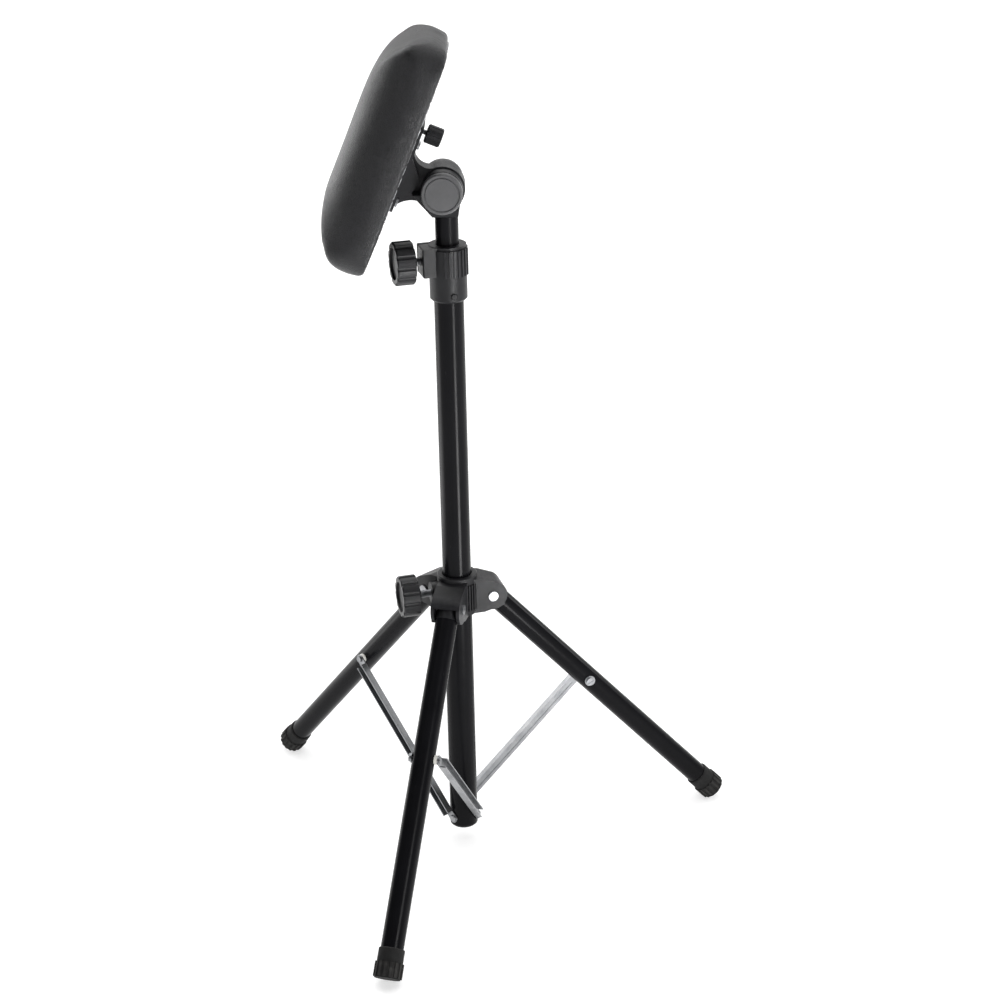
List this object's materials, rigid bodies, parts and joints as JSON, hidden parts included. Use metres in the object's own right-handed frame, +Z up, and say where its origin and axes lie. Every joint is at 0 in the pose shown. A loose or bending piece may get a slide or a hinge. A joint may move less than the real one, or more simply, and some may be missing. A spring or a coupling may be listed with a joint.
{
  "type": "portable arm rest stand",
  "caption": "Portable arm rest: a padded loaf-shaped rest on a tilting, swivelling, telescopic post with a folding braced tripod.",
  "frame": {"origin": "on the column's axis at floor level, with the tripod open", "axes": "+Z up the column; the pad's tilt hinge lies along Y; the pad leans to -X"},
  "size_m": [0.4874, 0.4866, 0.8446],
  "materials": {
    "powder_coat": "glossy black powder coat",
    "black_plastic": "satin moulded plastic",
    "satin_cap": "satin grey-black moulded plastic",
    "leatherette": "fine grained black leatherette",
    "plywood": "raw plywood",
    "base_cloth": "black spun cloth",
    "rubber": "matt black rubber",
    "nylon": "natural nylon",
    "fibre": "vulcanised fibre",
    "zinc_steel": "bright zinc-plated steel"
  },
  "bodies": {
    "column": {"column_tube": "powder_coat", "column_plug": "black_plastic", "height_collar": "black_plastic", "collar_nut": "zinc_steel", "collar_brake_pad": "nylon", "collar_rivet": "powder_coat"},
    "hub": {"hub_spider": "black_plastic", "hub_nut": "zinc_steel", "hub_brake_pad": "nylon", "leg_pivot_pins": "zinc_steel"},
    "collar_knob": {"collar_knob": "black_plastic", "collar_knob_stud": "zinc_steel"},
    "hub_knob": {"hub_knob": "black_plastic", "hub_knob_stud": "zinc_steel"},
    "slider": {"post_bush": "nylon"},
    "post": {"post_tube": "powder_coat", "post_plug": "black_plastic", "tilt_head": "black_plastic", "head_pin": "zinc_steel", "tilt_bolt": "zinc_steel", "tilt_nut": "zinc_steel", "pivot_cap_near": "satin_cap", "pivot_cap_far": "satin_cap", "friction_washers": "fibre"},
    "pad": {"pad_bracket": "black_plastic", "pad_cushion": "leatherette", "pad_board": "plywood", "pad_base_cloth": "base_cloth", "bracket_screws": "zinc_steel", "pad_insert_nut": "zinc_steel"},
    "pad_knob": {"pad_knob": "black_plastic", "pad_knob_screw": "zinc_steel"},
    "leg_right": {"leg_tube_right": "powder_coat", "leg_plug_right": "black_plastic", "foot_cap_right": "rubber", "brace_screw_right": "zinc_steel", "brace_spacer_right": "nylon"},
    "brace_right": {"brace_right": "zinc_steel", "brace_rivet_right": "zinc_steel"},
    "leg_rear": {"leg_tube_rear": "powder_coat", "leg_plug_rear": "black_plastic", "foot_cap_rear": "rubber", "brace_screw_rear": "zinc_steel", "brace_spacer_rear": "nylon"},
    "brace_rear": {"brace_rear": "zinc_steel", "brace_rivet_rear": "zinc_steel"},
    "leg_front": {"leg_tube_front": "powder_coat", "leg_plug_front": "black_plastic", "foot_cap_front": "rubber", "brace_screw_front": "zinc_steel", "brace_spacer_front": "nylon"},
    "brace_front": {"brace_front": "zinc_steel", "brace_rivet_front": "zinc_steel"}
  },
  "joints": [
    {"name": "hub_slide", "type": "slide", "parent": "column", "child": "hub", "axis": [0, 0, 1], "range_m": [0, 0.08962]},
    {"name": "post_slide", "type": "slide", "parent": "column", "child": "slider", "axis": [0, 0, 1], "range_m": [-0.008, 0.32]},
    {"name": "post_swivel", "type": "hinge", "parent": "slider", "child": "post", "pos_m": [0, 0, 0.25], "axis": [0, 0, 1], "continuous": true},
    {"name": "pad_tilt", "type": "hinge", "parent": "post", "child": "pad", "pos_m": [-0.003, 0, 0.7], "axis": [0, 1, 0], "range_deg": [-2, 138]},
    {"name": "collar_knob_turn", "type": "hinge", "parent": "column", "child": "collar_knob", "pos_m": [-0.04825, -0.01311, 0.63], "axis": [0.965, 0.2622, 0], "range_deg": [-540, 0]},
    {"name": "hub_knob_turn", "type": "hinge", "parent": "hub", "child": "hub_knob", "pos_m": [-0.04825, -0.01311, 0.285], "axis": [0.965, 0.2622, 0], "range_deg": [-540, 0]},
    {"name": "pad_knob_turn", "type": "hinge", "parent": "pad", "child": "pad_knob", "pos_m": [-0.00939, 0, 0.7482], "axis": [-0.9225, 0, 0.3859], "range_deg": [-360, 0]},
    {"name": "leg_right_fold", "type": "hinge", "parent": "hub", "child": "leg_right", "pos_m": [0.03213, 0.00873, 0.2793], "axis": [-0.2622, 0.965, 0], "range_deg": [0, 39.03]},
    {"name": "brace_right_pin", "type": "hinge", "parent": "leg_right", "child": "brace_right", "pos_m": [0.13086, 0.03555, 0.1658], "axis": [-0.2622, 0.965, 0], "range_deg": [-70.91, 0]},
    {"name": "leg_rear_fold", "type": "hinge", "parent": "hub", "child": "leg_rear", "pos_m": [-0.02363, 0.02346, 0.2793], "axis": [-0.7046, -0.7096, 0], "range_deg": [0, 39.03]},
    {"name": "brace_rear_pin", "type": "hinge", "parent": "leg_rear", "child": "brace_rear", "pos_m": [-0.09622, 0.09555, 0.1658], "axis": [-0.7046, -0.7096, 0], "range_deg": [-70.91, 0]},
    {"name": "leg_front_fold", "type": "hinge", "parent": "hub", "child": "leg_front", "pos_m": [-0.00851, -0.0322, 0.2793], "axis": [0.9668, -0.2554, 0], "range_deg": [0, 39.03]},
    {"name": "brace_front_pin", "type": "hinge", "parent": "leg_front", "child": "brace_front", "pos_m": [-0.03464, -0.1311, 0.1658], "axis": [0.9668, -0.2554, 0], "range_deg": [-70.91, 0]}
  ],
  "couplings": [
    {"joint": "leg_right_fold", "follows": "hub_slide", "rad_per_m": 7.6006},
    {"joint": "brace_right_pin", "follows": "hub_slide", "rad_per_m": -13.81},
    {"joint": "leg_rear_fold", "follows": "hub_slide", "rad_per_m": 7.6006},
    {"joint": "brace_rear_pin", "follows": "hub_slide", "rad_per_m": -13.81},
    {"joint": "leg_front_fold", "follows": "hub_slide", "rad_per_m": 7.6006},
    {"joint": "brace_front_pin", "follows": "hub_slide", "rad_per_m": -13.81}
  ]
}
